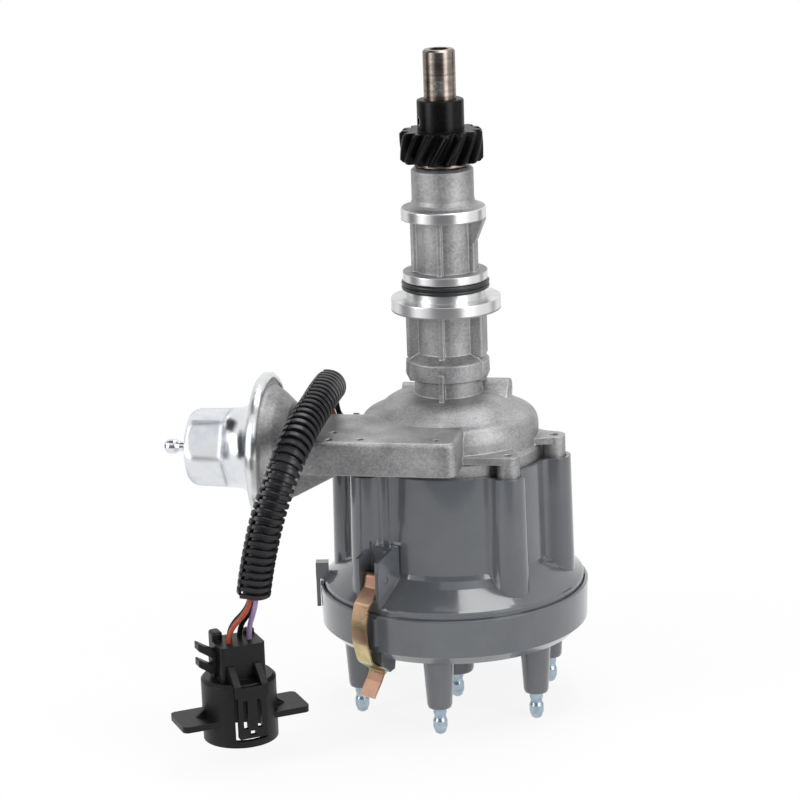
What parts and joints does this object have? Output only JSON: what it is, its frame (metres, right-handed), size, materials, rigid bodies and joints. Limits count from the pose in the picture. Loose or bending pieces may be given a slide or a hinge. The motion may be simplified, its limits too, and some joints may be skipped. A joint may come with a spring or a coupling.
{
  "type": "ignition distributor",
  "caption": "Ignition distributor with helical drive gear, centrifugal and vacuum advance, moulded cap with push-on terminals, and a harness lead with a round connector.",
  "frame": {"origin": "on the shaft axis, in the plane of the collar face that seats on the engine block", "axes": "+Z along the shaft towards the drive gear and its hexagon socket; -X along the vacuum advance arm and can; the cap terminals point to -Z"},
  "size_m": [0.1857, 0.1684, 0.2997],
  "materials": {
    "cast_aluminium": "sand cast, slightly rough",
    "bronze": "sintered",
    "rubber": "satin",
    "ground_steel": "ground",
    "black_iron": "blackened, satin",
    "zinc_sheet": "bright zinc plate",
    "grey_plastic": "moulded, satin gloss",
    "brass": "bright",
    "terminal_zinc": "bluish zinc plate",
    "yellow_zinc": "yellow chromate on zinc",
    "loom_plastic": "corrugated, satin",
    "black_plastic": "satin",
    "orange_insulation": "smooth",
    "purple_insulation": "smooth"
  },
  "bodies": {
    "housing": {"housing": "cast_aluminium", "upper_bushing": "bronze", "lower_bushing": "bronze", "o_ring": "rubber", "base_plate": "zinc_sheet", "base_plate_screws": "zinc_sheet", "stator_retainer": "ground_steel", "cap_adapter": "grey_plastic", "adapter_screws": "ground_steel", "distributor_cap": "grey_plastic", "plug_terminals": "terminal_zinc", "coil_terminal": "terminal_zinc", "brush_spring": "ground_steel", "clip_pins": "ground_steel", "vacuum_body": "cast_aluminium", "vacuum_cover": "zinc_sheet", "hose_nipple": "zinc_sheet", "vacuum_screws": "zinc_sheet", "vacuum_spring": "ground_steel", "diaphragm": "rubber", "harness_grommet": "rubber", "loom": "loom_plastic", "wire_orange": "orange_insulation", "wire_purple": "purple_insulation", "wire_blacks": "black_plastic", "connector_body": "black_plastic", "connector_terminals": "brass", "connector_lock": "black_plastic"},
    "shaft": {"shaft": "ground_steel", "drive_gear": "black_iron", "gear_roll_pin": "ground_steel", "thrust_washer": "ground_steel", "weight_plate": "ground_steel", "advance_springs": "ground_steel", "sleeve_retainer": "ground_steel"},
    "weight_a": {"weight_a": "ground_steel"},
    "weight_b": {"weight_b": "ground_steel"},
    "sleeve": {"advance_sleeve": "ground_steel", "reluctor": "ground_steel", "rotor": "grey_plastic", "rotor_contact": "brass"},
    "stator": {"stator_plate": "zinc_sheet", "magnet_ring": "black_iron", "pickup_coil": "black_plastic", "pole_ring": "ground_steel"},
    "vacuum_link": {"vacuum_link": "ground_steel"},
    "clip_front": {"clip_front": "yellow_zinc"},
    "clip_rear": {"clip_rear": "yellow_zinc"},
    "brush": {"carbon_brush": "black_plastic"}
  },
  "joints": [
    {"name": "shaft_spin", "type": "hinge", "parent": "housing", "child": "shaft", "pos_m": [0, 0, 0], "axis": [0, 0, 1], "continuous": true},
    {"name": "advance", "type": "hinge", "parent": "shaft", "child": "sleeve", "pos_m": [0, 0, -0.08], "axis": [0, 0, 1], "range_deg": [0, 12], "stiffness_Nm_per_rad": 0.4, "springref_deg": -2.86},
    {"name": "weight_a_swing", "type": "hinge", "parent": "shaft", "child": "weight_a", "pos_m": [0, 0.019, -0.054], "axis": [0, 0, 1], "range_deg": [-16.5, 0]},
    {"name": "weight_b_swing", "type": "hinge", "parent": "shaft", "child": "weight_b", "pos_m": [0, -0.019, -0.054], "axis": [0, 0, 1], "range_deg": [-16.5, 0]},
    {"name": "stator_turn", "type": "hinge", "parent": "housing", "child": "stator", "pos_m": [0, 0, -0.076], "axis": [0, 0, -1], "range_deg": [0, 9.2]},
    {"name": "vacuum_slide", "type": "slide", "parent": "housing", "child": "vacuum_link", "axis": [-1, 0, 0], "range_m": [0, 0.005], "deforming": ["vacuum_spring", "diaphragm"]},
    {"name": "clip_front_swing", "type": "hinge", "parent": "housing", "child": "clip_front", "pos_m": [-0.02725, -0.0472, -0.117], "axis": [-0.866, 0.5, 0], "range_deg": [0, 70]},
    {"name": "clip_rear_swing", "type": "hinge", "parent": "housing", "child": "clip_rear", "pos_m": [0.02725, 0.0472, -0.117], "axis": [0.866, -0.5, 0], "range_deg": [0, 70]},
    {"name": "brush_slide", "type": "slide", "parent": "housing", "child": "brush", "axis": [0, 0, -1], "range_m": [0, 0.0015], "stiffness_N_per_m": 100, "springref_m": -0.003, "deforming": ["brush_spring"]}
  ],
  "couplings": [
    {"joint": "weight_a_swing", "follows": "advance", "ratio": -1.375},
    {"joint": "weight_b_swing", "follows": "advance", "ratio": -1.375},
    {"joint": "vacuum_slide", "follows": "stator_turn", "m_per_rad": 0.031}
  ]
}
